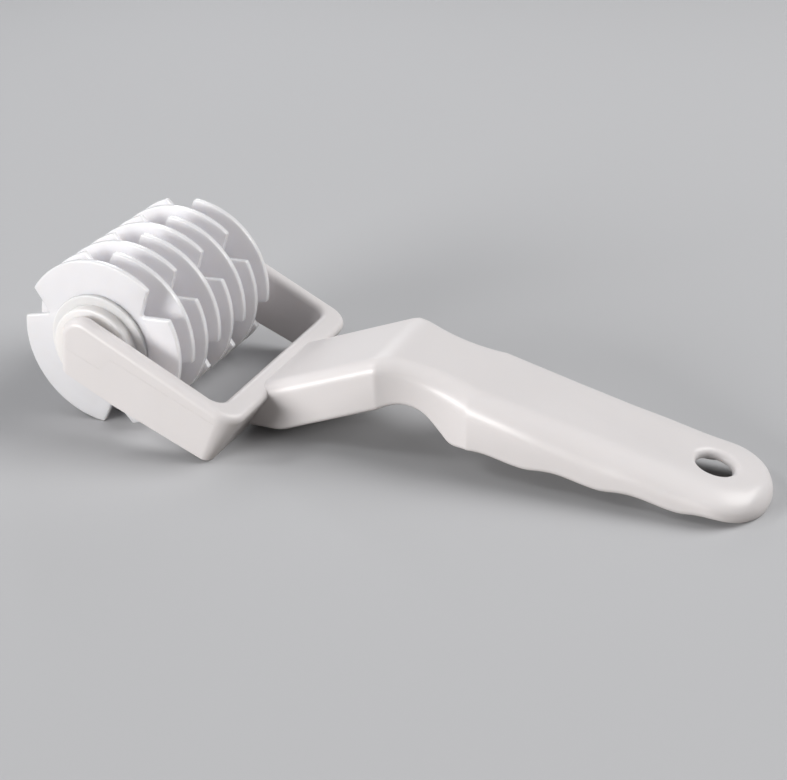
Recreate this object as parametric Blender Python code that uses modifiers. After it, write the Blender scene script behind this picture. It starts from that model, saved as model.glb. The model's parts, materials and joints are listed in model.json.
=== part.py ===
"""Lattice roller cutter: a one-piece plastic handle whose yoke carries a roller of notched discs.

Frame: metres, +X from the roller towards the handle's tip, +Y along the axle, +Z up.
The tool lies on its discs and on the handle's tip, the table is Z = 0, and the origin is
under the middle of its box. Side outlines are written as (distance from the axle, height).
"""
import math

import bmesh
import bpy
from mathutils import Matrix, Vector

# Roller
DISC_COUNT = 8
NOTCH_COUNT = 3
ROLLER_RADIUS = 0.0200
DISC_THICKNESS = 0.0015
DISC_PITCH = 0.0060
NOTCH_DEPTH = 0.0061
NOTCH_WIDTH = 0.0078
NOTCH_CORNER = 0.0005
FIRST_NOTCH_ANGLE = math.radians(37.6)
CORE_FLATS = 0.0100
CORE_SEAT_DEPTH = 0.0012
SPACER_RADIUS = 0.0100
COLLAR_RADIUS = 0.0100
COLLAR_LENGTH = 0.0033
COLLAR_EDGE = 0.0005
FLANGE_RADIUS = 0.0122
FLANGE_THICKNESS = 0.0008

# Pins on the yoke that the roller turns on
PIN_RADIUS = 0.0025
PIN_LENGTH = 0.0060
PIN_EDGE = 0.0006
BOSS_RADIUS = 0.0045
BOSS_HEIGHT = 0.0004

# Clearances
SEAT_GAP = 0.0003
RUNNING_GAP = 0.0003
SIDE_GAP = 0.0003
ROOT_INSET = 0.0003

# Yoke
ARM_THICKNESS = 0.0040
ARM_OVERHANG = 0.0059
ARM_ABOVE_AXLE = 0.0098
ARM_BELOW_AXLE = 0.0065
ARM_SLOPE = math.radians(26.1)
ARM_END_LEAN = 0.0016
ARM_END_RADIUS = 0.0050
ARM_TOE_RADIUS = 0.0012
ARM_KNEE_X = 0.0072
YOKE_CORNER_RADIUS = 0.0058
YOKE_FOOT_RADIUS = 0.0024
YOKE_INNER_RADIUS = 0.0030
YOKE_EDGE = 0.0018
CROSSBAR_FRONT = 0.0327
CROSSBAR_REAR = 0.0382
CROSSBAR_FOOT = 0.0307
CROSSBAR_CLEARANCE = 0.0004

# Neck and grip
HANDLE_REACH = 0.1477
HANDLE_HALF_WIDTH = 0.0138
NECK_EDGE = 0.0034
GRIP_EDGE = 0.0056
TIP_EDGE_REACH = 0.0078
TIP_EDGE = 0.0034
LOWER_EDGE = 0.0012
TIP_LOWER_EDGE = 0.0019
WALL = 0.0020
SKIN = 0.0020
CAVITY_START = 0.0420
END_LENGTH = 0.0107
TIP_OVAL_SHARE = 0.995
APEX_X = 0.0645
APEX_HEIGHT = 0.0244
APEX_RADIUS = 0.0060
TIP_HEIGHT = 0.0052
UPPER_EDGE_SHARE = 0.6
LOWER_EDGE_SHARE = 0.35
WAIST_DEPTH = 0.0022
WAIST_START = 0.0635
WAIST_END = 0.0850
NECK_TOE_X = 0.0400
NECK_TOE_HEIGHT = 0.0020
NECK_TOE_RADIUS = 0.0100
ARCH_X = 0.0712
ARCH_HEIGHT = 0.0152
ARCH_RADIUS = 0.0090
STOP_X = 0.0802
STOP_HEIGHT = 0.0062
STOP_RADIUS = 0.0030
HOLLOWS_START = 0.0809
SCALLOP_COUNT = 3
SCALLOP_DEPTH = 0.0009
SCALLOP_SKEW_SHARE = 0.8
LAST_HOLLOW_LENGTH = 0.0153
LAST_CUSP_HEIGHT = 0.0016
FOOT_SETBACK = 0.0014
HANGING_HOLE_SETBACK = 0.0121
HANGING_HOLE_RADIUS = 0.0041
HANGING_HOLE_EDGE = 0.0016

# Fineness
RIM_STEP = math.radians(5)
ARC_STEP = math.radians(12)
EDGE_SEGMENTS = 3
SCALLOP_STEPS = 8
WAIST_STEPS = 8
TIP_STEPS = 8
TURN_STEPS = 36
OVERRUN = 0.0050
LEAST_STEP = 0.0002
FACING_SHARE = 0.99
WELD = 0.000001

# Worked out from the sizes above
AXLE_X = -(HANDLE_REACH - ROLLER_RADIUS) / 2
DISC_SPREAD = (DISC_COUNT - 1) * DISC_PITCH
STACK_HALF = (DISC_SPREAD + DISC_THICKNESS) / 2
ROLLER_HALF = STACK_HALF + SEAT_GAP + COLLAR_LENGTH
ARM_INNER = ROLLER_HALF + SIDE_GAP + BOSS_HEIGHT
ARM_OUTER = ARM_INNER + ARM_THICKNESS
BORE_RADIUS = PIN_RADIUS + RUNNING_GAP
HEX_HOLE_FLATS = CORE_FLATS + 2 * SEAT_GAP
CORE_HALF = STACK_HALF + CORE_SEAT_DEPTH
SPACER_THICKNESS = DISC_PITCH - DISC_THICKNESS - 2 * SEAT_GAP
FOOT_X = HANDLE_REACH - FOOT_SETBACK
HANGING_HOLE_X = HANDLE_REACH - HANGING_HOLE_SETBACK
SCALLOP_PITCH = (FOOT_X - HOLLOWS_START - LAST_HOLLOW_LENGTH) / SCALLOP_COUNT


def fillet(corners):
    """Turn (x, y, radius) corners of a closed outline into points, with an arc at each."""
    points = []
    for index, (x, y, radius) in enumerate(corners):
        here = Vector((x, y))
        if radius == 0:
            points.append(here)
            continue
        back = (Vector(corners[index - 1][:2]) - here).normalized()
        ahead = (Vector(corners[(index + 1) % len(corners)][:2]) - here).normalized()
        half_opening = back.angle(ahead) / 2
        centre = here + (back + ahead).normalized() * radius / math.sin(half_opening)
        spoke = here + back * radius / math.tan(half_opening) - centre
        last = here + ahead * radius / math.tan(half_opening) - centre
        turn = -spoke.angle_signed(last)
        steps = max(2, math.ceil(abs(turn) / ARC_STEP))
        for step in range(steps + 1):
            points.append(centre + Matrix.Rotation(turn * step / steps, 2) @ spoke)
    return [(point.x, point.y) for point in points]


def polar(radius, angle):
    """A point at a distance and an angle from the middle."""
    return (radius * math.cos(angle), radius * math.sin(angle))


def ring(radius, count):
    """Points evenly spaced on a circle."""
    return [polar(radius, 2 * math.pi * step / count) for step in range(count)]


def hexagon(flats):
    """A hexagon with the given distance across its flats."""
    return ring(flats / (2 * math.cos(math.pi / 6)), 6)


def collection(name):
    """A new collection in the scene."""
    made = bpy.data.collections.new(name)
    bpy.context.scene.collection.children.link(made)
    return made


def plastic(name, colour, roughness):
    """A plain moulded plastic."""
    made = bpy.data.materials.new(name)
    made.use_nodes = True
    shader = made.node_tree.nodes["Principled BSDF"]
    shader.inputs["Base Color"].default_value = (*colour, 1.0)
    shader.inputs["Roughness"].default_value = roughness
    shader.inputs["Metallic"].default_value = 0.0
    return made


def add_object(name, data, where, place):
    """A mesh or a curve as an object in a collection."""
    made = bpy.data.objects.new(name, data)
    where.objects.link(made)
    made.matrix_world = place
    return made


def evaluated_mesh(item):
    """The object's mesh with its modifiers applied and its faces welded."""
    bpy.context.view_layer.update()
    mesh = bpy.data.meshes.new_from_object(item.evaluated_get(bpy.context.evaluated_depsgraph_get()))
    shape = bmesh.new()
    shape.from_mesh(mesh)
    bmesh.ops.remove_doubles(shape, verts=shape.verts, dist=WELD)
    bmesh.ops.dissolve_limit(shape, angle_limit=math.radians(0.1), verts=shape.verts,
                             edges=shape.edges)
    bmesh.ops.recalc_face_normals(shape, faces=shape.faces)
    shape.to_mesh(mesh)
    shape.free()
    return mesh


def plate(name, outlines, half_thickness, where, place):
    """A flat outline, with any holes, extruded both ways and made a closed mesh."""
    curve = bpy.data.curves.new(name + "_outline", "CURVE")
    curve.dimensions = "2D"
    curve.fill_mode = "BOTH"
    curve.extrude = half_thickness
    for outline in outlines:
        spline = curve.splines.new("POLY")
        spline.points.add(len(outline) - 1)
        spline.use_cyclic_u = True
        for point, (x, y) in zip(spline.points, outline):
            point.co = (x, y, 0.0, 1.0)
    guide = add_object(name + "_outline", curve, where, place)
    made = add_object(name, evaluated_mesh(guide), where, place)
    bpy.data.objects.remove(guide)
    return made


def turned(name, profile, where, place):
    """A closed (radius, height) profile turned about the object's Z axis."""
    mesh = bpy.data.meshes.new(name)
    count = len(profile)
    mesh.from_pydata([(radius, 0.0, height) for radius, height in profile],
                     [(step, (step + 1) % count) for step in range(count)], [])
    made = add_object(name, mesh, where, place)
    screw = made.modifiers.new("turn", "SCREW")
    screw.steps = TURN_STEPS
    screw.render_steps = TURN_STEPS
    screw.use_merge_vertices = True
    screw.merge_threshold = WELD
    screw.use_normal_calculate = True
    made.data = evaluated_mesh(made)
    made.modifiers.clear()
    return made


def combine(body, tool, operation):
    """Apply a Boolean with another mesh, which is then removed."""
    cut = body.modifiers.new("cut", "BOOLEAN")
    cut.operation = operation
    cut.solver = "EXACT"
    cut.object = tool
    body.data = evaluated_mesh(body)
    body.modifiers.clear()
    bpy.data.objects.remove(tool)
    return body


def round_edges(body, radius, share_of):
    """Round each convex edge by its share of the radius, in the object's own frame."""
    shape = bmesh.new()
    shape.from_mesh(body.data)
    weight = shape.edges.layers.float.new("bevel_weight_edge")
    for edge in shape.edges:
        if edge.is_manifold and edge.is_convex:
            edge[weight] = share_of(edge)
    shape.to_mesh(body.data)
    shape.free()
    rounding = body.modifiers.new("rounding", "BEVEL")
    rounding.limit_method = "WEIGHT"
    rounding.width = radius
    rounding.segments = EDGE_SEGMENTS
    rounding.use_clamp_overlap = False
    body.data = evaluated_mesh(body)
    body.modifiers.clear()


def finish(body, material, pivot=None):
    """Give a piece its material, smooth round surfaces and, if it turns, its pivot."""
    body.data.materials.clear()
    body.data.materials.append(material)
    body.data.shade_smooth()
    body.data.set_sharp_from_angle(angle=math.radians(28))
    if pivot is not None:
        place = body.matrix_world.copy()
        body.parent = pivot
        body.matrix_parent_inverse = pivot.matrix_world.inverted()
        body.matrix_world = place
    return body


def side_place():
    """Where a side outline stands: its x along the handle, its y up."""
    return Matrix.Translation((AXLE_X, 0.0, 0.0)) @ Matrix.Rotation(math.pi / 2, 4, "X")


def along_axle(offset):
    """Where a turned or flat roller piece stands: its x along the handle, its y up."""
    tilt = Matrix.Rotation(math.pi / 2, 4, "X")
    return Matrix.Translation((AXLE_X, offset, ROLLER_RADIUS)) @ tilt


def facing(side):
    """A turn that points a piece's height along the axle, to the near side or the far side."""
    return Matrix.Rotation(math.pi, 4, "X") if side > 0 else Matrix.Identity(4)


def arm_top(x):
    """Height of the yoke's top plane at a distance from the axle."""
    return ROLLER_RADIUS + ARM_ABOVE_AXLE - x * math.tan(ARM_SLOPE)


def arm_foot(x):
    """Height of the arms' lower line, which runs from the knee to the crossbar's foot."""
    knee = arm_top(ARM_KNEE_X) - ARM_ABOVE_AXLE - ARM_BELOW_AXLE
    share = (CROSSBAR_FOOT - x) / (CROSSBAR_FOOT - ARM_KNEE_X)
    return CROSSBAR_CLEARANCE + (knee - CROSSBAR_CLEARANCE) * share


def yoke_side():
    """Side outline of the arms and the crossbar, which is cut to length afterwards."""
    toe = arm_top(-ARM_OVERHANG) - ARM_ABOVE_AXLE - ARM_BELOW_AXLE
    shoulder = ARM_END_LEAN - ARM_OVERHANG
    behind = CROSSBAR_REAR + OVERRUN
    return fillet([
        (behind, arm_foot(behind), 0),
        (behind, arm_top(behind), 0),
        (shoulder, arm_top(shoulder), ARM_END_RADIUS),
        (-ARM_OVERHANG, toe, ARM_TOE_RADIUS),
        (ARM_KNEE_X, arm_foot(ARM_KNEE_X), 0),
    ])


def yoke_plan():
    """Outline of the yoke in the plane of its arms, which starts above the axle."""
    front = CROSSBAR_FRONT / math.cos(ARM_SLOPE)
    rear = CROSSBAR_REAR / math.cos(ARM_SLOPE) + OVERRUN
    start = -2 * (ARM_OVERHANG + ARM_ABOVE_AXLE)
    outside = ARM_OUTER + OVERRUN
    return fillet([
        (start, -outside, 0),
        (rear, -outside, 0),
        (rear, outside, 0),
        (start, outside, 0),
        (start, ARM_INNER, 0),
        (front, ARM_INNER, YOKE_INNER_RADIUS),
        (front, -ARM_INNER, YOKE_INNER_RADIUS),
        (start, -ARM_INNER, 0),
    ])


def yoke_ring(height):
    """Plan of the yoke at a height: its back leans, and its corners are rounder further up."""
    share = (height - CROSSBAR_CLEARANCE) / (arm_top(CROSSBAR_REAR) - CROSSBAR_CLEARANCE)
    rear = CROSSBAR_FOOT + (CROSSBAR_REAR - CROSSBAR_FOOT) * share
    radius = YOKE_FOOT_RADIUS + (YOKE_CORNER_RADIUS - YOKE_FOOT_RADIUS) * share
    start = -ARM_OVERHANG - OVERRUN
    outline = fillet([
        (start, -ARM_OUTER, 0),
        (rear, -ARM_OUTER, radius),
        (rear, ARM_OUTER, radius),
        (start, ARM_OUTER, 0),
    ])
    return [(x, y, height) for x, y in outline]


def hollow(start, end):
    """A shallow finger hollow of the grip's lower edge, between two (x, height) cusps."""
    points = []
    for step in range(1, SCALLOP_STEPS + 1):
        share = step / SCALLOP_STEPS
        rise = (1 - math.cos(2 * math.pi * share ** SCALLOP_SKEW_SHARE)) / 2
        x = start[0] + (end[0] - start[0]) * share
        points.append((x, start[1] + (end[1] - start[1]) * share + SCALLOP_DEPTH * rise))
    return points


def scallops():
    """Lower edge of the grip from behind its finger stop to the foot near its tip."""
    drop = (STOP_HEIGHT - LAST_CUSP_HEIGHT) / SCALLOP_COUNT
    cusps = [(HOLLOWS_START + SCALLOP_PITCH * cusp, STOP_HEIGHT - drop * cusp)
             for cusp in range(SCALLOP_COUNT + 1)]
    cusps.append((FOOT_X, 0.0))
    points = []
    for start, end in zip(cusps, cusps[1:]):
        points += hollow(start, end)
    return points


def grip_top():
    """Upper outline of the neck and grip, from inside the crossbar to the tip."""
    root = (CROSSBAR_FRONT + CROSSBAR_REAR) / 2
    return fillet([
        (root, arm_top(root), 0),
        (APEX_X, APEX_HEIGHT, APEX_RADIUS),
        (HANDLE_REACH, TIP_HEIGHT, 0),
    ])


def grip_bottom():
    """Lower outline of the neck and grip, from inside the crossbar to the tip."""
    root = CROSSBAR_FOOT - (CROSSBAR_REAR - CROSSBAR_FRONT) / 2
    arches = fillet([
        (root, arm_foot(root) + ROOT_INSET, 0),
        (NECK_TOE_X, NECK_TOE_HEIGHT, NECK_TOE_RADIUS),
        (ARCH_X, ARCH_HEIGHT, ARCH_RADIUS),
        (STOP_X, STOP_HEIGHT, STOP_RADIUS),
        (STOP_X + SCALLOP_PITCH, STOP_HEIGHT, 0),
    ])
    return arches[:-1] + scallops() + [(HANDLE_REACH, 0.0)]


def height_at(outline, x):
    """Height of an outline at a distance from the axle."""
    for (x0, z0), (x1, z1) in zip(outline, outline[1:]):
        if x <= x1:
            return z0 + (z1 - z0) * (x - x0) / (x1 - x0)
    return outline[-1][1]


def half_width_at(x, inset=0.0):
    """Half width of the neck and grip, with the waist and the oval end, inside a wall."""
    oval = END_LENGTH - inset
    if x > HANDLE_REACH - END_LENGTH:
        share = TIP_OVAL_SHARE * (x - HANDLE_REACH + END_LENGTH) / oval
        return (HANDLE_HALF_WIDTH - inset) * math.sqrt(1 - share ** 2)
    half_chord = (WAIST_END - WAIST_START) / 2
    offset = x - WAIST_START - half_chord
    if abs(offset) > half_chord:
        return HANDLE_HALF_WIDTH - inset
    bow = (half_chord ** 2 + WAIST_DEPTH ** 2) / (2 * WAIST_DEPTH)
    dip = math.sqrt(bow ** 2 - offset ** 2) - math.sqrt(bow ** 2 - half_chord ** 2)
    return HANDLE_HALF_WIDTH - inset - dip


def between(x, start, end, first, last):
    """A size that changes steadily from its first to its last value between two distances."""
    share = min(1.0, max(0.0, (x - start) / (end - start)))
    return first + (last - first) * share


def upper_edge_at(x):
    """Reach across the top of the upper rounding: small on the neck, wide at the tip."""
    if x < WAIST_END:
        return between(x, WAIST_START, WAIST_END, NECK_EDGE, GRIP_EDGE)
    return between(x, WAIST_END, HANDLE_REACH, GRIP_EDGE, TIP_EDGE_REACH)


def lower_edge_at(x):
    """Reach across the underside of the lower rounding."""
    return between(x, WAIST_END, HANDLE_REACH, LOWER_EDGE, TIP_LOWER_EDGE)


def tip_fall(x, radius, reach=HANDLE_REACH):
    """How far a surface has curved away where the tip is rounded by a radius."""
    share = max(0.0, (x - reach + radius) / radius)
    return radius * (1 - math.sqrt(max(0.0, 1 - share ** 2)))


def corner(width, height, reach, drop, steps):
    """Points (y, z) of an oval corner from its top or foot to the side of the handle."""
    turns = [math.pi / 2 * step / steps for step in range(steps + 1)]
    return [(width - reach * (1 - math.sin(turn)), height - drop * (1 - math.cos(turn)))
            for turn in turns]


def grip_section(top_x, foot_x, top, bottom):
    """One ring of points round the handle, leaning if its top and foot differ."""
    width = half_width_at(top_x)
    high = top - tip_fall(top_x, TIP_EDGE)
    low = bottom + tip_fall(foot_x, LOWER_EDGE)
    upper = upper_edge_at(top_x)
    lower = lower_edge_at(top_x)
    upper_drop = min(upper, UPPER_EDGE_SHARE * (high - low))
    lower_rise = min(lower, LOWER_EDGE_SHARE * (high - low))
    half = corner(width, high, min(upper, width), upper_drop, 2 * EDGE_SEGMENTS)
    half += reversed(corner(width, low, min(lower, width), -lower_rise, EDGE_SEGMENTS))
    points = half + [(-y, z) for y, z in reversed(half)]
    lean = (top_x - foot_x) / (high - low)
    return [(foot_x + lean * (z - low), y, z) for y, z in points]


def cavity_section(x, top):
    """One ring of points round the open hollow under the handle."""
    width = half_width_at(x, WALL)
    ceiling = top - SKIN - tip_fall(x, TIP_EDGE - WALL, HANDLE_REACH - WALL)
    reach = min(max(upper_edge_at(x) - WALL, WALL / 2), width)
    drop = min(reach, UPPER_EDGE_SHARE * (ceiling - LAST_CUSP_HEIGHT))
    half = corner(width, ceiling, reach, drop, EDGE_SEGMENTS) + [(width, -OVERRUN)]
    return [(x, y, z) for y, z in half + [(-y, z) for y, z in reversed(half)]]


def grip_stations(outlines, start, reach, end_length):
    """Distances from the axle at which a section of the handle or of its hollow is drawn."""
    stations = {x for outline in outlines for x, _ in outline if start < x < reach}
    waist = WAIST_END - WAIST_START
    stations |= {WAIST_START + waist * step / WAIST_STEPS for step in range(WAIST_STEPS + 1)}
    turns = [math.pi / 2 * step / TIP_STEPS for step in range(TIP_STEPS)]
    stations |= {reach - end_length * (1 - math.sin(turn)) for turn in turns}
    spaced = [start]
    for x in sorted(stations):
        if x - spaced[-1] > LEAST_STEP and reach - x > LEAST_STEP:
            spaced.append(x)
    return spaced + [reach]


def loft(name, rings, where, place):
    """A closed solid through rings with the same number of points."""
    shape = bmesh.new()
    loops = [[shape.verts.new(point) for point in points] for points in rings]
    count = len(loops[0])
    for back, ahead in zip(loops, loops[1:]):
        for step in range(count):
            following = (step + 1) % count
            shape.faces.new((back[step], back[following], ahead[following], ahead[step]))
    shape.faces.new(loops[0])
    shape.faces.new(loops[-1])
    bmesh.ops.recalc_face_normals(shape, faces=shape.faces)
    mesh = bpy.data.meshes.new(name)
    shape.to_mesh(mesh)
    shape.free()
    return add_object(name, mesh, where, place)


def yoke_rim_share(edge):
    """All of the rounding for the edges along the yoke's top and down the arms' ends."""
    side, strip = sorted((face.normal for face in edge.link_faces), key=lambda normal: normal.z)
    if side.dot(strip) > 0.7:
        return 0.0
    if strip.z > 0.999:
        return 1.0
    side, strip = sorted((side, strip), key=lambda normal: -abs(normal.y))
    square = abs(side.y) > FACING_SHARE and abs(strip.y) < 1 - FACING_SHARE
    return float(square and (strip.z > 0.2 or strip.x < -0.8))


def pin_profile():
    """Half section of a pin and its thrust boss, from inside the arm to the pin's tip."""
    return [
        (0.0, PIN_LENGTH),
        (PIN_RADIUS - PIN_EDGE, PIN_LENGTH),
        (PIN_RADIUS, PIN_LENGTH - PIN_EDGE),
        (PIN_RADIUS, BOSS_HEIGHT),
        (BOSS_RADIUS, BOSS_HEIGHT),
        (BOSS_RADIUS, -ARM_THICKNESS / 2),
        (0.0, -ARM_THICKNESS / 2),
    ]


def make_yoke(where):
    """The fork: two arms, the crossbar and the pins that the roller turns on."""
    place = Matrix.Translation((AXLE_X, 0.0, arm_top(0.0))) @ Matrix.Rotation(ARM_SLOPE, 4, "Y")
    depth = 2 * (ARM_ABOVE_AXLE + ARM_BELOW_AXLE)
    yoke = plate("yoke", [yoke_plan()], depth, where, place)
    side = plate("yoke_side", [yoke_side()], ARM_OUTER + 2 * OVERRUN, where, side_place())
    combine(yoke, side, "INTERSECT")
    rings = [yoke_ring(0.0), yoke_ring(arm_top(-ARM_OVERHANG) + OVERRUN)]
    combine(yoke, loft("yoke_plan", rings, where, Matrix.Translation((AXLE_X, 0.0, 0.0))), "INTERSECT")
    round_edges(yoke, YOKE_EDGE, yoke_rim_share)
    for side in (-1, 1):
        pin = turned("pin", pin_profile(), where, along_axle(side * ARM_INNER) @ facing(-side))
        combine(yoke, pin, "UNION")
    return yoke


def make_grip(where):
    """The neck and grip, a shell that is open below, with the hanging hole."""
    top = grip_top()
    bottom = grip_bottom()
    place = Matrix.Translation((AXLE_X, 0.0, 0.0))
    rings = [grip_section(top[0][0], bottom[0][0], top[0][1], bottom[0][1])]
    for x in grip_stations([top, bottom], CROSSBAR_REAR, HANDLE_REACH, END_LENGTH):
        rings.append(grip_section(x, x, height_at(top, x), height_at(bottom, x)))
    grip = loft("grip", rings, where, place)
    inner = grip_stations([top], CAVITY_START, HANDLE_REACH - WALL, END_LENGTH - WALL)
    rings = [cavity_section(x, height_at(top, x)) for x in inner]
    combine(grip, loft("cavity", rings, where, place), "DIFFERENCE")
    slope = math.atan2(APEX_HEIGHT - TIP_HEIGHT, HANDLE_REACH - APEX_X)
    hole_place = Matrix.Translation((HANGING_HOLE_X, 0.0, height_at(top, HANGING_HOLE_X)))
    hole_place = place @ hole_place @ Matrix.Rotation(slope, 4, "Y")
    return combine(grip, turned("hole", hole_profile(), where, hole_place), "DIFFERENCE")


def hole_profile():
    """Half section of the hanging hole, from the handle's top, with a rounded rim."""
    rim = HANGING_HOLE_RADIUS + HANGING_HOLE_EDGE
    turns = [math.pi / 2 * step / EDGE_SEGMENTS for step in range(EDGE_SEGMENTS + 1)]
    arc = [(rim - HANGING_HOLE_EDGE * math.sin(turn), HANGING_HOLE_EDGE * (math.cos(turn) - 1))
           for turn in turns]
    depth = HANGING_HOLE_EDGE + TIP_HEIGHT + OVERRUN
    return [(0.0, OVERRUN), (rim, OVERRUN)] + arc + [(HANGING_HOLE_RADIUS, -depth), (0.0, -depth)]


def disc_outline(first_notch):
    """Outline of a cutting disc whose rim has a V-shaped notch at each third of the turn."""
    half_width_angle = math.asin(NOTCH_WIDTH / (2 * ROLLER_RADIUS))
    spacing = 2 * math.pi / NOTCH_COUNT
    corners = []
    for notch in range(NOTCH_COUNT):
        middle = first_notch + spacing * notch
        leaving = middle + half_width_angle
        arriving = middle + spacing - half_width_angle
        corners.append((*polar(ROLLER_RADIUS - NOTCH_DEPTH, middle), NOTCH_CORNER))
        corners.append((*polar(ROLLER_RADIUS, leaving), NOTCH_CORNER))
        first = math.ceil(leaving / RIM_STEP + 0.5)
        last = math.floor(arriving / RIM_STEP - 0.5)
        corners += [(*polar(ROLLER_RADIUS, step * RIM_STEP), 0) for step in range(first, last + 1)]
        corners.append((*polar(ROLLER_RADIUS, arriving), NOTCH_CORNER))
    return fillet(corners)


def make_disc(number, where):
    """One cutting disc; every second disc is turned by half a notch spacing."""
    offset = DISC_PITCH * (number - 1) - DISC_SPREAD / 2
    turn = FIRST_NOTCH_ANGLE + math.pi / NOTCH_COUNT * ((number - 1) % 2)
    outlines = [disc_outline(turn), hexagon(HEX_HOLE_FLATS)]
    return plate(f"cutter_disc_{number}", outlines, DISC_THICKNESS / 2, where, along_axle(offset))


def make_spacer(number, where):
    """The ring that keeps a disc and the next one apart."""
    offset = DISC_PITCH * (number - 0.5) - DISC_SPREAD / 2
    outlines = [ring(SPACER_RADIUS, TURN_STEPS), hexagon(HEX_HOLE_FLATS)]
    return plate(f"spacer_ring_{number}", outlines, SPACER_THICKNESS / 2, where, along_axle(offset))


def make_core(where):
    """The six-sided tube that keys the discs to each other."""
    outlines = [hexagon(CORE_FLATS), ring(BORE_RADIUS, TURN_STEPS)]
    return plate("roller_core", outlines, CORE_HALF, where, along_axle(0.0))


def make_collar(name, side, where):
    """The flanged cap on one end of the roller, bored for the yoke's pin."""
    profile = [
        (BORE_RADIUS, COLLAR_LENGTH),
        (COLLAR_RADIUS - COLLAR_EDGE, COLLAR_LENGTH),
        (COLLAR_RADIUS, COLLAR_LENGTH - COLLAR_EDGE),
        (COLLAR_RADIUS, FLANGE_THICKNESS),
        (FLANGE_RADIUS, FLANGE_THICKNESS),
        (FLANGE_RADIUS, 0.0),
        (BORE_RADIUS, 0.0),
    ]
    place = along_axle(side * (STACK_HALF + SEAT_GAP)) @ facing(side)
    collar = turned(name, profile, where, place)
    socket = plate("socket", [hexagon(HEX_HOLE_FLATS)], CORE_SEAT_DEPTH + SEAT_GAP, where, place)
    return combine(collar, socket, "DIFFERENCE")


def main():
    for old in list(bpy.data.objects):
        bpy.data.objects.remove(old)
    parts = collection("lattice_roller_cutter")
    handle_white = plastic("handle_plastic", (0.80, 0.77, 0.77), 0.35)
    disc_white = plastic("disc_plastic", (0.82, 0.82, 0.85), 0.30)
    core_white = plastic("core_plastic", (0.80, 0.79, 0.80), 0.40)

    handle = combine(make_grip(parts), make_yoke(parts), "UNION")
    handle.name = "handle"
    finish(handle, handle_white)

    spin = add_object("roller_spin", None, parts, along_axle(0.0))
    for number in range(1, DISC_COUNT + 1):
        finish(make_disc(number, parts), disc_white, spin)
    for number in range(1, DISC_COUNT):
        finish(make_spacer(number, parts), core_white, spin)
    finish(make_core(parts), core_white, spin)
    finish(make_collar("end_collar_near", -1, parts), core_white, spin)
    finish(make_collar("end_collar_far", 1, parts), core_white, spin)


main()
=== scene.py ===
"""Looks of the lattice roller cutter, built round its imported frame.

Frame: metres, +X from the roller towards the handle's tip, +Y along the axle, +Z up. Side
outlines are written as (distance from the axle, height).
"""
import json
import math

import bmesh
import bpy
from mathutils import Matrix, Quaternion, Vector


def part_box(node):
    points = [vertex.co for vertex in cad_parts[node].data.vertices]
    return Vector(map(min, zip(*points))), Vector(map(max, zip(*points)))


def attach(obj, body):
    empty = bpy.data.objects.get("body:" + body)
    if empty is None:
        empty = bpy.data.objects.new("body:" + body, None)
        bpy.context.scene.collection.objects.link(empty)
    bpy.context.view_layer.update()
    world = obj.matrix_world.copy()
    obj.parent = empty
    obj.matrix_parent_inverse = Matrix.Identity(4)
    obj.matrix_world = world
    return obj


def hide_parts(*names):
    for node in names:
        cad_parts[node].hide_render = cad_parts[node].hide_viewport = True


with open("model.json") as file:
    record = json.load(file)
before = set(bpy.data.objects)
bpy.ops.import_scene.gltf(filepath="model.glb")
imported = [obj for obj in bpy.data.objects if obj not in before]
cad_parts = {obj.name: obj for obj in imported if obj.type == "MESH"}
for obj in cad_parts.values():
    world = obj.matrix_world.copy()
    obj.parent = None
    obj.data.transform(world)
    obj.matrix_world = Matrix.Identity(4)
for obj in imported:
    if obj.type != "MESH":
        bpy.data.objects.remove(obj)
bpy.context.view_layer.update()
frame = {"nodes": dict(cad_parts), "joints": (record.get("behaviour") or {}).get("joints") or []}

MM = 0.001

# Places that the frame gives
AXLE = Vector(frame["joints"][0]["pos_m"])
ROLLER_RADIUS = AXLE.z
HANDLE_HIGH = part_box("handle")[1]
HANDLE_REACH = HANDLE_HIGH.x - AXLE.x
ARM_OUTER = HANDLE_HIGH.y
DISC_NODES = sorted(name for name in frame["nodes"] if name.startswith("cutter_disc_"))
SPACER_NODES = sorted(name for name in frame["nodes"] if name.startswith("spacer_ring_"))
COLLAR_NODES = {-1: "end_collar_near", 1: "end_collar_far"}

# Roller
NOTCH_COUNT = 3
NOTCH_DEPTH = 6.1 * MM
NOTCH_WIDTH = 7.8 * MM
NOTCH_CORNER = 0.5 * MM
FIRST_NOTCH_ANGLE = math.radians(37.6)
DISC_RIM_EDGE = 0.30 * MM
CORE_FLATS = 10.0 * MM
SEAT_GAP = 0.3 * MM
BORE_RADIUS = 2.8 * MM
SPACER_EDGE = 0.25 * MM
COLLAR_EDGE = 0.5 * MM
COLLAR_RADIUS = 10.0 * MM
FLANGE_THICKNESS = 0.8 * MM
FLANGE_EDGE = 0.25 * MM
SOCKET_DEPTH = 1.5 * MM
HEX_HOLE_FLATS = CORE_FLATS + 2 * SEAT_GAP
PRESSED_ON = SEAT_GAP - 0.03 * MM

# Pins
PIN_RADIUS = 2.5 * MM
PIN_LENGTH = 6.0 * MM
PIN_EDGE = 0.6 * MM
BOSS_RADIUS = 4.5 * MM
BOSS_HEIGHT = 0.4 * MM

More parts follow.
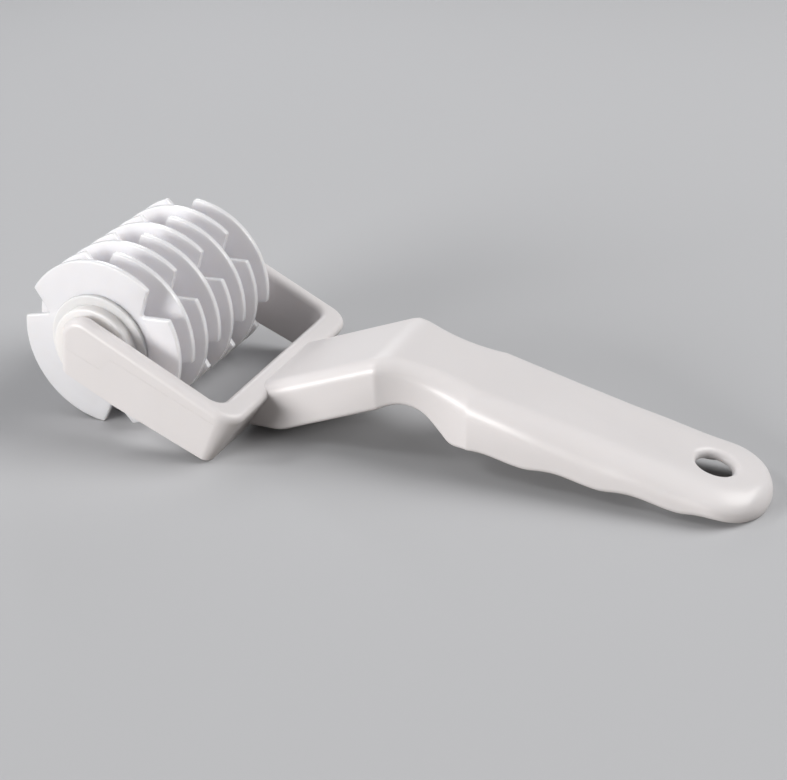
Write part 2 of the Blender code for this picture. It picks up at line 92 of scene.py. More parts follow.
# Yoke
ARM_THICKNESS = 4.0 * MM
ARM_INNER = ARM_OUTER - ARM_THICKNESS
ARM_OVERHANG = 5.9 * MM
ARM_ABOVE_AXLE = 9.8 * MM
ARM_BELOW_AXLE = 6.5 * MM
ARM_SLOPE = math.radians(26.1)
ARM_END_LEAN = 1.6 * MM
ARM_END_RADIUS = 5.0 * MM
ARM_TOE_RADIUS = 1.2 * MM
ARM_KNEE_X = 7.2 * MM
YOKE_CORNER_RADIUS = 5.8 * MM
YOKE_FOOT_RADIUS = 2.4 * MM
YOKE_INNER_RADIUS = 3.0 * MM
YOKE_EDGE = 1.8 * MM
CROSSBAR_FRONT = 32.7 * MM
CROSSBAR_REAR = 38.2 * MM
CROSSBAR_FOOT = 30.7 * MM
CROSSBAR_CLEARANCE = 0.4 * MM
ROOT_INSET = 0.3 * MM
PARTING_WIDTH = 0.12 * MM
PARTING_DEPTH = 0.05 * MM
PARTING_LINE = [
    (-8.0 * MM, 23.7 * MM),
    (4.7 * MM, 18.5 * MM),
    (7.7 * MM, 21.3 * MM),
    (34.0 * MM, 9.9 * MM),
]

# Neck and grip
HANDLE_HALF_WIDTH = 13.8 * MM
NECK_EDGE = 3.4 * MM
GRIP_EDGE = 5.6 * MM
TIP_EDGE_REACH = 7.8 * MM
TIP_EDGE = 3.4 * MM
LOWER_EDGE = 1.2 * MM
TIP_LOWER_EDGE = 1.9 * MM
WALL = 2.0 * MM
SKIN = 2.0 * MM
CAVITY_START = 42.0 * MM
END_LENGTH = 10.7 * MM
TIP_OVAL_SHARE = 0.995
APEX_X = 64.5 * MM
APEX_HEIGHT = 24.4 * MM
APEX_RADIUS = 10.0 * MM
TIP_HEIGHT = 5.2 * MM
UPPER_EDGE_SHARE = 0.6
LOWER_EDGE_SHARE = 0.35
WAIST_DEPTH = 2.2 * MM
WAIST_START = 63.5 * MM
WAIST_END = 85.0 * MM
NECK_TOE_X = 40.0 * MM
NECK_TOE_HEIGHT = 2.0 * MM
NECK_TOE_RADIUS = 10.0 * MM
ARCH_X = 71.2 * MM
ARCH_HEIGHT = 15.2 * MM
ARCH_RADIUS = 9.0 * MM
STOP_X = 80.2 * MM
STOP_HEIGHT = 6.2 * MM
STOP_RADIUS = 3.0 * MM
HOLLOWS_START = 80.9 * MM
SCALLOP_COUNT = 3
SCALLOP_DEPTH = 0.9 * MM
SCALLOP_SKEW_SHARE = 0.8
LAST_CUSP_HEIGHT = 1.6 * MM
FOOT_X = HANDLE_REACH - 1.4 * MM
LAST_HOLLOW = 15.3 * MM
SCALLOP_PITCH = (FOOT_X - HOLLOWS_START - LAST_HOLLOW) / SCALLOP_COUNT
HANGING_HOLE_X = HANDLE_REACH - 12.1 * MM
HANGING_HOLE_RADIUS = 4.1 * MM
HANGING_HOLE_EDGE = 1.6 * MM

# Fineness
RIM_STEP = math.radians(1.5)
ARC_STEP = math.radians(4)
EDGE_SEGMENTS = 8
DISC_EDGE_SEGMENTS = 3
SCALLOP_STEPS = 20
WAIST_STEPS = 24
TIP_STEPS = 24
TURN_STEPS = 120
OVERRUN = 5.0 * MM
LEAST_STEP = 0.05 * MM
WELD = 0.001 * MM
FLAT_ANGLE = math.radians(0.05)
SMOOTH_ANGLE = math.radians(30)

# Which edges of the yoke are rounded, by parts of their faces' normals in the yoke's own frame
SMOOTH_JOIN = 0.7
FACES_UP = 0.999
FACES_SIDEWAYS = 0.99
ACROSS_ARM = 0.01
LEAST_UPWARD = 0.2
FACES_FORWARD = -0.8

# Plastics: colour, roughness, translucency, depth of the inner glow, and clear coat
HANDLE_WHITE = ((0.80, 0.77, 0.77), 0.36, 0.25, 1.2 * MM, 0.08)
DISC_WHITE = ((0.86, 0.85, 0.88), 0.24, 0.90, 3.0 * MM, 0.70)
CORE_WHITE = ((0.85, 0.83, 0.82), 0.34, 0.80, 3.0 * MM, 0.20)
PLASTIC_IOR = 1.49
COAT_ROUGHNESS = 0.12
GLOW_TINT = (1.0, 0.94, 0.88)
MOTTLE_SCALE = 60.0
MOTTLE_DETAIL = 4.0
MOTTLE_RANGE = (0.30, 0.70)
MOTTLE_DARK = 0.985
MOTTLE_LIGHT = 1.01
SMEAR_SCALE = 210.0
SMEAR_DETAIL = 3.0
SMEAR_REACH = 0.03
GRAIN_SCALE = 900.0
GRAIN_DETAIL = 2.0
GRAIN_STRENGTH = 0.10
GRAIN_DEPTH = 0.05 * MM

# Camera
CAMERA_PLACE = Vector((0.12953, -0.29734, 0.17875))
VIEW_AZIMUTH = math.radians(23.827)
VIEW_ELEVATION = math.radians(27.386)
VIEW_ROLL = math.radians(-0.592)
LENS_MM = 74.575
SENSOR_MM = 36.0
NEAREST_SEEN = 0.01
FARTHEST_SEEN = 20.0

# Floor, room and lamps
FLOOR_RADIUS = 1.2
FLOOR_SIDES = 128
FLOOR_ROUGHNESS = 0.9
FLOOR_COLOUR = (0.56, 0.565, 0.58)
FLOOR_BOUNCE = (0.24, 0.225, 0.21)
BACKGROUND_COLOUR = (0.60, 0.605, 0.62)
ROOM_COLOUR = (0.97, 0.98, 1.0)
ROOM_STRENGTH = 0.14
MIDDLE = Vector((0.0, 0.0, 0.02))
WARM = (1.0, 0.99, 0.98)
COOL = (0.97, 0.98, 1.0)
FULL_SPREAD = math.pi
KEY_SPREAD = math.radians(90)
RIMS_ROLL = math.radians(-48.5)
# name, target, direction from the target, distance, size, power, colour, roll and spread
LAMPS = [
    ("key", MIDDLE, (-0.50, -0.85, 0.22), 1.5, (0.90, 0.50), 5.1, WARM, 0.0, KEY_SPREAD),
    ("top", MIDDLE, (0.80, 0.50, 0.80), 1.3, (0.90, 0.90), 14.0, WARM, 0.0, FULL_SPREAD),
    ("ridge", MIDDLE, (-0.69, -0.34, 0.69), 1.2, (0.25, 0.25), 1.9, WARM, 0.0, FULL_SPREAD),
    ("left", AXLE, (-0.75, 0.15, 0.65), 0.4, (0.20, 0.20), 0.09, COOL, 0.0, FULL_SPREAD),
    ("rims", AXLE, (-0.39, 0.775, 0.49), 0.5, (0.20, 0.05), 0.20, COOL, RIMS_ROLL, FULL_SPREAD),
]


def fillet(corners):
    """Turn (x, y, radius) corners of a closed outline into points, with an arc at each."""
    points = []
    for index, (x, y, radius) in enumerate(corners):
        here = Vector((x, y))
        if radius == 0:
            points.append(here)
            continue
        back = (Vector(corners[index - 1][:2]) - here).normalized()
        ahead = (Vector(corners[(index + 1) % len(corners)][:2]) - here).normalized()
        half_opening = back.angle(ahead) / 2
        centre = here + (back + ahead).normalized() * radius / math.sin(half_opening)
        spoke = here + back * radius / math.tan(half_opening) - centre
        last = here + ahead * radius / math.tan(half_opening) - centre
        turn = -spoke.angle_signed(last)
        steps = max(2, math.ceil(abs(turn) / ARC_STEP))
        for step in range(steps + 1):
            points.append(centre + Matrix.Rotation(turn * step / steps, 2) @ spoke)
    return [(point.x, point.y) for point in points]


def polar(radius, angle):
    """A point at a distance and an angle from the middle."""
    return (radius * math.cos(angle), radius * math.sin(angle))


def ring(radius, count):
    """Points evenly spaced on a circle."""
    return [polar(radius, 2 * math.pi * step / count) for step in range(count)]


def hexagon(flats):
    """A hexagon with the given distance across its flats."""
    return ring(flats / (2 * math.cos(math.pi / 6)), 6)


def add_object(name, data, place):
    """A mesh or a curve as an object in the scene."""
    made = bpy.data.objects.new(name, data)
    bpy.context.scene.collection.objects.link(made)
    made.matrix_world = place
    return made


def evaluated_mesh(item):
    """The object's mesh with its modifiers applied and its faces welded."""
    bpy.context.view_layer.update()
    graph = bpy.context.evaluated_depsgraph_get()
    mesh = bpy.data.meshes.new_from_object(item.evaluated_get(graph))
    shape = bmesh.new()
    shape.from_mesh(mesh)
    bmesh.ops.remove_doubles(shape, verts=shape.verts, dist=WELD)
    bmesh.ops.dissolve_limit(shape, angle_limit=FLAT_ANGLE, verts=shape.verts,
                             edges=shape.edges)
    bmesh.ops.recalc_face_normals(shape, faces=shape.faces)
    shape.to_mesh(mesh)
    shape.free()
    return mesh


def plate(name, outlines, half_thickness, place, bevel=0.0):
    """A flat outline, with any holes, extruded both ways, with rounded rims if asked."""
    curve = bpy.data.curves.new(name + "_outline", "CURVE")
    curve.dimensions = "2D"
    curve.fill_mode = "BOTH"
    curve.extrude = half_thickness - bevel
    curve.bevel_depth = bevel
    curve.bevel_resolution = DISC_EDGE_SEGMENTS - 1
    curve.offset = -bevel
    for outline in outlines:
        spline = curve.splines.new("POLY")
        spline.points.add(len(outline) - 1)
        spline.use_cyclic_u = True
        for point, (x, y) in zip(spline.points, outline):
            point.co = (x, y, 0.0, 1.0)
    guide = add_object(name + "_outline", curve, place)
    made = add_object(name, evaluated_mesh(guide), place)
    bpy.data.objects.remove(guide)
    return made


def turned(name, profile, place):
    """A closed (radius, height) profile turned about the object's Z axis."""
    mesh = bpy.data.meshes.new(name)
    count = len(profile)
    mesh.from_pydata([(radius, 0.0, height) for radius, height in profile],
                     [(step, (step + 1) % count) for step in range(count)], [])
    made = add_object(name, mesh, place)
    screw = made.modifiers.new("turn", "SCREW")
    screw.steps = TURN_STEPS
    screw.render_steps = TURN_STEPS
    screw.use_merge_vertices = True
    screw.merge_threshold = WELD
    screw.use_normal_calculate = True
    made.data = evaluated_mesh(made)
    made.modifiers.clear()
    return made


def combine(body, tool, operation):
    """Apply a Boolean with another mesh, which is then removed."""
    cut = body.modifiers.new("cut", "BOOLEAN")
    cut.operation = operation
    cut.solver = "EXACT"
    cut.object = tool
    body.data = evaluated_mesh(body)
    body.modifiers.clear()
    bpy.data.objects.remove(tool)
    return body


def round_edges(body, radius, share_of):
    """Round each convex edge by its share of the radius, in the object's own frame."""
    shape = bmesh.new()
    shape.from_mesh(body.data)
    weight = shape.edges.layers.float.new("bevel_weight_edge")
    for edge in shape.edges:
        if edge.is_manifold and edge.is_convex:
            edge[weight] = share_of(edge)
    shape.to_mesh(body.data)
    shape.free()
    rounding = body.modifiers.new("rounding", "BEVEL")
    rounding.limit_method = "WEIGHT"
    rounding.width = radius
    rounding.segments = EDGE_SEGMENTS
    rounding.use_clamp_overlap = False
    body.data = evaluated_mesh(body)
    body.modifiers.clear()


def finish_piece(piece, name, material, node, body):
    """Name a piece, shade it, and let it stand for its node and ride on its body."""
    piece.name = name
    piece.data.materials.clear()
    piece.data.materials.append(material)
    piece.data.shade_smooth()
    piece.data.set_sharp_from_angle(angle=SMOOTH_ANGLE)
    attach(piece, body)
    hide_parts(node)


def side_place():
    """Where a side outline stands: its x along the handle, its y up."""
    return Matrix.Translation((AXLE.x, 0.0, 0.0)) @ Matrix.Rotation(math.pi / 2, 4, "X")


def along_axle(offset):
    """Where a turned or flat roller piece stands: its x along the handle, its y up."""
    return Matrix.Translation((AXLE.x, offset, AXLE.z)) @ Matrix.Rotation(math.pi / 2, 4, "X")


def facing(side):
    """A turn that points a piece's height along the axle, to the near side or the far side."""
    return Matrix.Rotation(math.pi, 4, "X") if side > 0 else Matrix.Identity(4)


def arm_top(x):
    """Height of the yoke's top plane at a distance from the axle."""
    return AXLE.z + ARM_ABOVE_AXLE - x * math.tan(ARM_SLOPE)


def arm_belly(x):
    """Height of the arms' lower line round the axle, which is parallel to their top."""
    return arm_top(x) - ARM_ABOVE_AXLE - ARM_BELOW_AXLE


def arm_foot(x):
    """Height of the arms' lower line behind its knee, which runs to the crossbar's foot."""
    share = (CROSSBAR_FOOT - x) / (CROSSBAR_FOOT - ARM_KNEE_X)
    return CROSSBAR_CLEARANCE + (arm_belly(ARM_KNEE_X) - CROSSBAR_CLEARANCE) * share


def arm_end(shoulder_radius, toe_radius):
    """Corners of the arms' end in a side outline, from their shoulder to their knee."""
    shoulder = ARM_END_LEAN - ARM_OVERHANG
    return [
        (shoulder, arm_top(shoulder), shoulder_radius),
        (-ARM_OVERHANG, arm_belly(-ARM_OVERHANG), toe_radius),
        (ARM_KNEE_X, arm_foot(ARM_KNEE_X), 0),
    ]


def yoke_side():
    """Side outline of the arms and the crossbar, which is cut to length afterwards."""
    behind = CROSSBAR_REAR + OVERRUN
    foot_to_top = [(behind, arm_foot(behind), 0), (behind, arm_top(behind), 0)]
    return fillet(foot_to_top + arm_end(ARM_END_RADIUS, 0))


def toe_outline():
    """Side outline of what comes off the arms' lower front corner to round it."""
    arc = fillet(arm_end(0, ARM_TOE_RADIUS))[1:-1]
    return arc + [(-ARM_OVERHANG - OVERRUN, arm_belly(-ARM_OVERHANG) - OVERRUN)]


def yoke_plan():
    """Outline of the yoke in the plane of its arms, which starts above the axle."""
    front = CROSSBAR_FRONT / math.cos(ARM_SLOPE)
    rear = CROSSBAR_REAR / math.cos(ARM_SLOPE) + OVERRUN
    start = -2 * (ARM_OVERHANG + ARM_ABOVE_AXLE)
    outside = ARM_OUTER + OVERRUN
    return fillet([
        (start, -outside, 0),
        (rear, -outside, 0),
        (rear, outside, 0),
        (start, outside, 0),
        (start, ARM_INNER, 0),
        (front, ARM_INNER, YOKE_INNER_RADIUS),
        (front, -ARM_INNER, YOKE_INNER_RADIUS),
        (start, -ARM_INNER, 0),
    ])


def yoke_ring(height):
    """Plan of the yoke at a height: its back leans, and its corners are rounder further up."""
    share = (height - CROSSBAR_CLEARANCE) / (arm_top(CROSSBAR_REAR) - CROSSBAR_CLEARANCE)
    rear = CROSSBAR_FOOT + (CROSSBAR_REAR - CROSSBAR_FOOT) * share
    radius = YOKE_FOOT_RADIUS + (YOKE_CORNER_RADIUS - YOKE_FOOT_RADIUS) * share
    start = -ARM_OVERHANG - OVERRUN
    outline = fillet([
        (start, -ARM_OUTER, 0),
        (rear, -ARM_OUTER, radius),
        (rear, ARM_OUTER, radius),
        (start, ARM_OUTER, 0),
    ])
    return [(x, y, height) for x, y in outline]


def hollow(start, end):
    """A shallow finger hollow of the grip's lower edge, between two (x, height) cusps."""
    points = []
    for step in range(1, SCALLOP_STEPS + 1):
        share = step / SCALLOP_STEPS
        rise = (1 - math.cos(2 * math.pi * share ** SCALLOP_SKEW_SHARE)) / 2
        x = start[0] + (end[0] - start[0]) * share
        points.append((x, start[1] + (end[1] - start[1]) * share + SCALLOP_DEPTH * rise))
    return points


def scallops():
    """Lower edge of the grip from behind its finger stop to the foot near its tip."""
    drop = (STOP_HEIGHT - LAST_CUSP_HEIGHT) / SCALLOP_COUNT
    cusps = [(HOLLOWS_START + SCALLOP_PITCH * cusp, STOP_HEIGHT - drop * cusp)
             for cusp in range(SCALLOP_COUNT + 1)]
    cusps.append((FOOT_X, 0.0))
    points = []
    for start, end in zip(cusps, cusps[1:]):
        points += hollow(start, end)
    return points


def grip_top():
    """Upper outline of the neck and grip, from inside the crossbar to the tip."""
    root = (CROSSBAR_FRONT + CROSSBAR_REAR) / 2
    return fillet([
        (root, arm_top(root), 0),
        (APEX_X, APEX_HEIGHT, APEX_RADIUS),
        (HANDLE_REACH, TIP_HEIGHT, 0),
    ])


def grip_bottom():
    """Lower outline of the neck and grip, from inside the crossbar to the tip."""
    root = CROSSBAR_FOOT - (CROSSBAR_REAR - CROSSBAR_FRONT) / 2
    arches = fillet([
        (root, arm_foot(root) + ROOT_INSET, 0),
        (NECK_TOE_X, NECK_TOE_HEIGHT, NECK_TOE_RADIUS),
        (ARCH_X, ARCH_HEIGHT, ARCH_RADIUS),
        (STOP_X, STOP_HEIGHT, STOP_RADIUS),
        (STOP_X + SCALLOP_PITCH, STOP_HEIGHT, 0),
    ])
    return arches[:-1] + scallops() + [(HANDLE_REACH, 0.0)]


def height_at(outline, x):
    """Height of an outline at a distance from the axle."""
    for (x0, z0), (x1, z1) in zip(outline, outline[1:]):
        if x <= x1:
            return z0 + (z1 - z0) * (x - x0) / (x1 - x0)
    return outline[-1][1]


def half_width_at(x, inset=0.0):
    """Half width of the neck and grip, with the waist and the oval end, inside a wall."""
    oval = END_LENGTH - inset
    if x > HANDLE_REACH - END_LENGTH:
        share = TIP_OVAL_SHARE * (x - HANDLE_REACH + END_LENGTH) / oval
        return (HANDLE_HALF_WIDTH - inset) * math.sqrt(1 - share ** 2)
    half_chord = (WAIST_END - WAIST_START) / 2
    offset = x - WAIST_START - half_chord
    if abs(offset) > half_chord:
        return HANDLE_HALF_WIDTH - inset
    bow = (half_chord ** 2 + WAIST_DEPTH ** 2) / (2 * WAIST_DEPTH)
    dip = math.sqrt(bow ** 2 - offset ** 2) - math.sqrt(bow ** 2 - half_chord ** 2)
    return HANDLE_HALF_WIDTH - inset - dip


def between(x, start, end, first, last):
    """A size that changes steadily from its first to its last value between two distances."""
    share = min(1.0, max(0.0, (x - start) / (end - start)))
    return first + (last - first) * share


def upper_edge_at(x):
    """Reach across the top of the upper rounding: small on the neck, wide at the tip."""
    if x < WAIST_END:
        return between(x, WAIST_START, WAIST_END, NECK_EDGE, GRIP_EDGE)
    return between(x, WAIST_END, HANDLE_REACH, GRIP_EDGE, TIP_EDGE_REACH)


def lower_edge_at(x):
    """Reach across the underside of the lower rounding."""
    return between(x, WAIST_END, HANDLE_REACH, LOWER_EDGE, TIP_LOWER_EDGE)


def tip_fall(x, radius, reach=HANDLE_REACH):
    """How far a surface has curved away where the tip is rounded by a radius."""
    share = max(0.0, (x - reach + radius) / radius)
    return radius * (1 - math.sqrt(max(0.0, 1 - share ** 2)))


def corner(width, height, reach, drop, steps):
    """Points (y, z) of an oval corner from its top or foot to the side of the handle."""
    turns = [math.pi / 2 * step / steps for step in range(steps + 1)]
    return [(width - reach * (1 - math.sin(turn)), height - drop * (1 - math.cos(turn)))
            for turn in turns]


def grip_section(top_x, foot_x, top, bottom):
    """One ring of points round the handle, leaning if its top and foot differ."""
    width = half_width_at(top_x)
    high = top - tip_fall(top_x, TIP_EDGE)
    low = bottom + tip_fall(foot_x, LOWER_EDGE)
    upper = upper_edge_at(top_x)
    lower = lower_edge_at(top_x)
    upper_drop = min(upper, UPPER_EDGE_SHARE * (high - low))
    lower_rise = min(lower, LOWER_EDGE_SHARE * (high - low))
    half = corner(width, high, min(upper, width), upper_drop, 2 * EDGE_SEGMENTS)
    half += reversed(corner(width, low, min(lower, width), -lower_rise, EDGE_SEGMENTS))
    points = half + [(-y, z) for y, z in reversed(half)]
    lean = (top_x - foot_x) / (high - low)
    return [(foot_x + lean * (z - low), y, z) for y, z in points]


def cavity_section(x, top):
    """One ring of points round the open hollow under the handle."""
    width = half_width_at(x, WALL)
    ceiling = top - SKIN - tip_fall(x, TIP_EDGE - WALL, HANDLE_REACH - WALL)
    reach = min(max(upper_edge_at(x) - WALL, WALL / 2), width)
    drop = min(reach, UPPER_EDGE_SHARE * (ceiling - LAST_CUSP_HEIGHT))
    half = corner(width, ceiling, reach, drop, EDGE_SEGMENTS) + [(width, -OVERRUN)]
    return [(x, y, z) for y, z in half + [(-y, z) for y, z in reversed(half)]]


def grip_stations(outlines, start, reach, end_length):
    """Distances from the axle at which a section of the handle or of its hollow is drawn."""
    stations = {x for outline in outlines for x, _ in outline if start < x < reach}
    waist = WAIST_END - WAIST_START
    stations |= {WAIST_START + waist * step / WAIST_STEPS for step in range(WAIST_STEPS + 1)}
    turns = [math.pi / 2 * step / TIP_STEPS for step in range(TIP_STEPS)]
    stations |= {reach - end_length * (1 - math.sin(turn)) for turn in turns}
    spaced = [start]
    for x in sorted(stations):
        if x - spaced[-1] > LEAST_STEP and reach - x > LEAST_STEP:
            spaced.append(x)
    return spaced + [reach]


def loft(name, rings, place):
    """A closed solid through rings with the same number of points."""
    shape = bmesh.new()
    loops = [[shape.verts.new(point) for point in points] for points in rings]
    count = len(loops[0])
    for back, ahead in zip(loops, loops[1:]):
        for step in range(count):
            following = (step + 1) % count
            shape.faces.new((back[step], back[following], ahead[following], ahead[step]))
    shape.faces.new(loops[0])
    shape.faces.new(loops[-1])
    bmesh.ops.recalc_face_normals(shape, faces=shape.faces)
    mesh = bpy.data.meshes.new(name)
    shape.to_mesh(mesh)
    shape.free()
    return add_object(name, mesh, place)


def yoke_rim_share(edge):
    """All of the rounding for the edges along the yoke's top and down the arms' ends."""
    side, strip = sorted((face.normal for face in edge.link_faces), key=lambda normal: normal.z)
    if side.dot(strip) > SMOOTH_JOIN:
        return 0.0
    if strip.z > FACES_UP:
        return 1.0
    side, strip = sorted((side, strip), key=lambda normal: -abs(normal.y))
    square = abs(side.y) > FACES_SIDEWAYS and abs(strip.y) < ACROSS_ARM
    return float(square and (strip.z > LEAST_UPWARD or strip.x < FACES_FORWARD))


def pin_profile():
    """Half section of a pin and its thrust boss, from inside the arm to the pin's tip."""
    return [
        (0.0, PIN_LENGTH),
        (PIN_RADIUS - PIN_EDGE, PIN_LENGTH),
        (PIN_RADIUS, PIN_LENGTH - PIN_EDGE),
        (PIN_RADIUS, BOSS_HEIGHT),
        (BOSS_RADIUS, BOSS_HEIGHT),
        (BOSS_RADIUS, -ARM_THICKNESS / 2),
        (0.0, -ARM_THICKNESS / 2),
    ]


def make_yoke():
    """The fork: two arms, the crossbar and the pins that the roller turns on."""
    place = Matrix.Translation((AXLE.x, 0.0, arm_top(0.0))) @ Matrix.Rotation(ARM_SLOPE, 4, "Y")
    depth = 2 * (ARM_ABOVE_AXLE + ARM_BELOW_AXLE)
    yoke = plate("yoke", [yoke_plan()], depth, place)
    side = plate("yoke_side", [yoke_side()], ARM_OUTER + 2 * OVERRUN, side_place())
    combine(yoke, side, "INTERSECT")
    rings = [yoke_ring(0.0), yoke_ring(arm_top(-ARM_OVERHANG) + OVERRUN)]
    combine(yoke, loft("yoke_plan", rings, Matrix.Translation((AXLE.x, 0.0, 0.0))), "INTERSECT")
    round_edges(yoke, YOKE_EDGE, yoke_rim_share)
    combine(yoke, plate("toe", [toe_outline()], ARM_OUTER + OVERRUN, side_place()), "DIFFERENCE")
    for side in (-1, 1):
        pin = turned("pin", pin_profile(), along_axle(side * ARM_INNER) @ facing(-side))
        combine(yoke, pin, "UNION")
    return yoke


def parting_outline():
    """Outline of the narrow groove that the mould's seam leaves on an arm's outer side."""
    upper = [(x, z + PARTING_WIDTH / 2) for x, z in PARTING_LINE]
    lower = [(x, z - PARTING_WIDTH / 2) for x, z in PARTING_LINE]
    return upper + lower[::-1]


def make_parting(side):
    """The cutter for the seam's groove on one arm's outer side."""
    place = Matrix.Translation((0.0, side * ARM_OUTER, 0.0)) @ side_place()
    return plate("parting", [parting_outline()], PARTING_DEPTH, place)


def hole_profile():
    """Half section of the hanging hole, from the handle's top, with a rounded rim."""
    rim = HANGING_HOLE_RADIUS + HANGING_HOLE_EDGE
    turns = [math.pi / 2 * step / EDGE_SEGMENTS for step in range(EDGE_SEGMENTS + 1)]
    arc = [(rim - HANGING_HOLE_EDGE * math.sin(turn), HANGING_HOLE_EDGE * (math.cos(turn) - 1))
           for turn in turns]
    depth = HANGING_HOLE_EDGE + TIP_HEIGHT + OVERRUN
    return [(0.0, OVERRUN), (rim, OVERRUN)] + arc + [(HANGING_HOLE_RADIUS, -depth), (0.0, -depth)]


def make_grip():
    """The neck and grip, a shell that is open below, with the hanging hole."""
    top = grip_top()
    bottom = grip_bottom()
    place = Matrix.Translation((AXLE.x, 0.0, 0.0))
    rings = [grip_section(top[0][0], bottom[0][0], top[0][1], bottom[0][1])]
    for x in grip_stations([top, bottom], CROSSBAR_REAR, HANDLE_REACH, END_LENGTH):
        rings.append(grip_section(x, x, height_at(top, x), height_at(bottom, x)))
    grip = loft("grip", rings, place)
    inner = grip_stations([top], CAVITY_START, HANDLE_REACH - WALL, END_LENGTH - WALL)
    rings = [cavity_section(x, height_at(top, x)) for x in inner]
    combine(grip, loft("cavity", rings, place), "DIFFERENCE")
    slope = math.atan2(APEX_HEIGHT - TIP_HEIGHT, HANDLE_REACH - APEX_X)
    hole_place = Matrix.Translation((HANGING_HOLE_X, 0.0, height_at(top, HANGING_HOLE_X)))
    hole_place = place @ hole_place @ Matrix.Rotation(slope, 4, "Y")
    return combine(grip, turned("hole", hole_profile(), hole_place), "DIFFERENCE")


def disc_outline(first_notch):
    """Outline of a cutting disc whose rim has a V-shaped notch at each third of the turn."""
    half_width_angle = math.asin(NOTCH_WIDTH / (2 * ROLLER_RADIUS))
    spacing = 2 * math.pi / NOTCH_COUNT
    corners = []
    for notch in range(NOTCH_COUNT):
        middle = first_notch + spacing * notch
        leaving = middle + half_width_angle
        arriving = middle + spacing - half_width_angle
        corners.append((*polar(ROLLER_RADIUS - NOTCH_DEPTH, middle), NOTCH_CORNER))
        corners.append((*polar(ROLLER_RADIUS, leaving), NOTCH_CORNER))
        first = math.ceil(leaving / RIM_STEP + 1)
        last = math.floor(arriving / RIM_STEP - 1)
        corners += [(*polar(ROLLER_RADIUS, step * RIM_STEP), 0) for step in range(first, last + 1)]
        corners.append((*polar(ROLLER_RADIUS, arriving), NOTCH_CORNER))
    return fillet(corners)


def span_of(node):
    """The middle and half the thickness of a roller piece along the axle."""
    low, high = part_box(node)
    return (low.y + high.y) / 2, (high.y - low.y) / 2


def make_disc(number, node):
    """One cutting disc with softened rims; every second disc is turned by half a spacing."""
    offset, half = span_of(node)
    outline = disc_outline(FIRST_NOTCH_ANGLE + math.pi / NOTCH_COUNT * (number % 2))
    disc = plate("disc", [outline], half, along_axle(offset), DISC_RIM_EDGE)
    hole = plate("disc_hole", [hexagon(HEX_HOLE_FLATS)], half + OVERRUN, along_axle(offset))
    return combine(disc, hole, "DIFFERENCE")


def make_spacer(node):
    """The ring that keeps a disc and the next one apart, seen pressed against both."""
    offset, half = span_of(node)
    low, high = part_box(node)
    radius = (high.x - low.x) / 2
    half += PRESSED_ON
    spacer = plate("spacer", [ring(radius, TURN_STEPS)], half, along_axle(offset), SPACER_EDGE)
    hole = plate("spacer_hole", [hexagon(HEX_HOLE_FLATS)], half + OVERRUN, along_axle(offset))
    return combine(spacer, hole, "DIFFERENCE")


def rounded(radius, height, edge):
    """Profile points of a rounded outer rim, from its flat face to its side."""
    turns = [math.pi / 2 * step / EDGE_SEGMENTS for step in range(EDGE_SEGMENTS + 1)]
    return [(radius - edge * (1 - math.sin(turn)), height - edge * (1 - math.cos(turn)))
            for turn in turns]


def make_collar(side, node):
    """The flanged cap pressed on one end of the roller, bored for the yoke's pin."""
    low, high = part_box(node)
    inner_face = low.y if side > 0 else high.y
    length = high.y - low.y
    flange_radius = (high.x - low.x) / 2
    profile = [(BORE_RADIUS, length)]
    profile += rounded(COLLAR_RADIUS, length, COLLAR_EDGE)
    profile.append((COLLAR_RADIUS, FLANGE_THICKNESS))
    profile += rounded(flange_radius, FLANGE_THICKNESS, FLANGE_EDGE)
    profile += [(flange_radius, -PRESSED_ON), (BORE_RADIUS, -PRESSED_ON)]
    place = along_axle(inner_face) @ facing(side)
    collar = turned("collar", profile, place)
    socket = plate("socket", [hexagon(HEX_HOLE_FLATS)], SOCKET_DEPTH, place)
    return combine(collar, socket, "DIFFERENCE")


def add_noise(tree, place, scale, detail):
    """An uneven value over a piece, in the piece's own coordinates."""
    noise = tree.nodes.new("ShaderNodeTexNoise")
    noise.inputs["Scale"].default_value = scale
    noise.inputs["Detail"].default_value = detail
    tree.links.new(place.outputs["Object"], noise.inputs["Vector"])
    return noise.outputs["Fac"]


